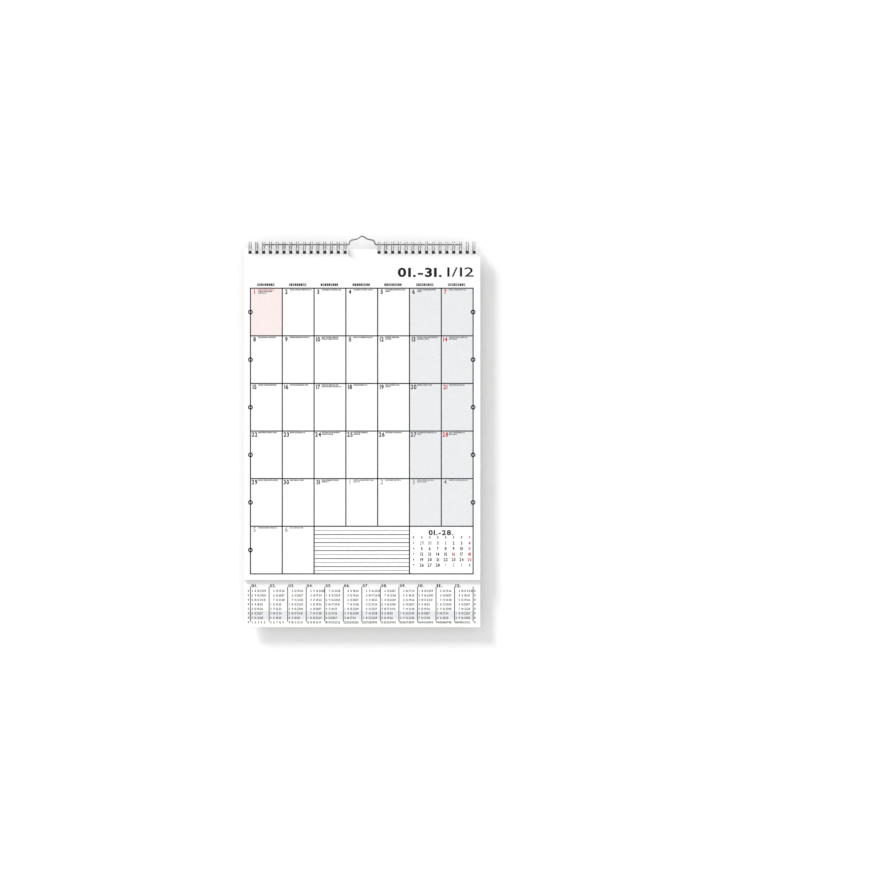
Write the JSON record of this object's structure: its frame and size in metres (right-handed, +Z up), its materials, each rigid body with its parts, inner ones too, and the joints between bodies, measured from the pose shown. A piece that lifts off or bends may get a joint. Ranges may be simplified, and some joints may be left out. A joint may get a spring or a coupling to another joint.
{
  "type": "wall calendar",
  "caption": "Wall calendar with notched month sheets over a longer backing card, bound by wire loops along the top and hung from a bent wire hanger.",
  "frame": {"origin": "the point of the nail that the underside of the hanger's peak rests on", "axes": "+X to the reader's right, +Y from the reader to the wall and along the nail, +Z up"},
  "size_m": [0.295, 0.0127, 0.4887],
  "materials": {
    "page_paper": "smooth uncoated white",
    "backing_card": "smooth white",
    "comb_wire": "bright nickel coat",
    "hanger_wire": "drawn, satin",
    "dark_ink": "matt offset ink",
    "red_ink": "matt offset ink",
    "grey_ink": "matt offset ink",
    "pale_tint": "matt offset ink"
  },
  "bodies": {
    "backing": {"back_card": "backing_card", "left_wire_comb": "comb_wire", "right_wire_comb": "comb_wire"},
    "pages": {"month_sheets": "page_paper"},
    "hanger": {"wire_hanger": "hanger_wire"}
  },
  "joints": [
    {"name": "pages_turn", "type": "hinge", "parent": "backing", "child": "pages", "pos_m": [0, -0.00347, -0.01211], "axis": [1, 0, 0], "range_deg": [-195, 0]},
    {"name": "hanger_turn", "type": "hinge", "parent": "backing", "child": "hanger", "pos_m": [0, 0, -0.0094], "axis": [1, 0, 0], "range_deg": [-180, 135]}
  ]
}
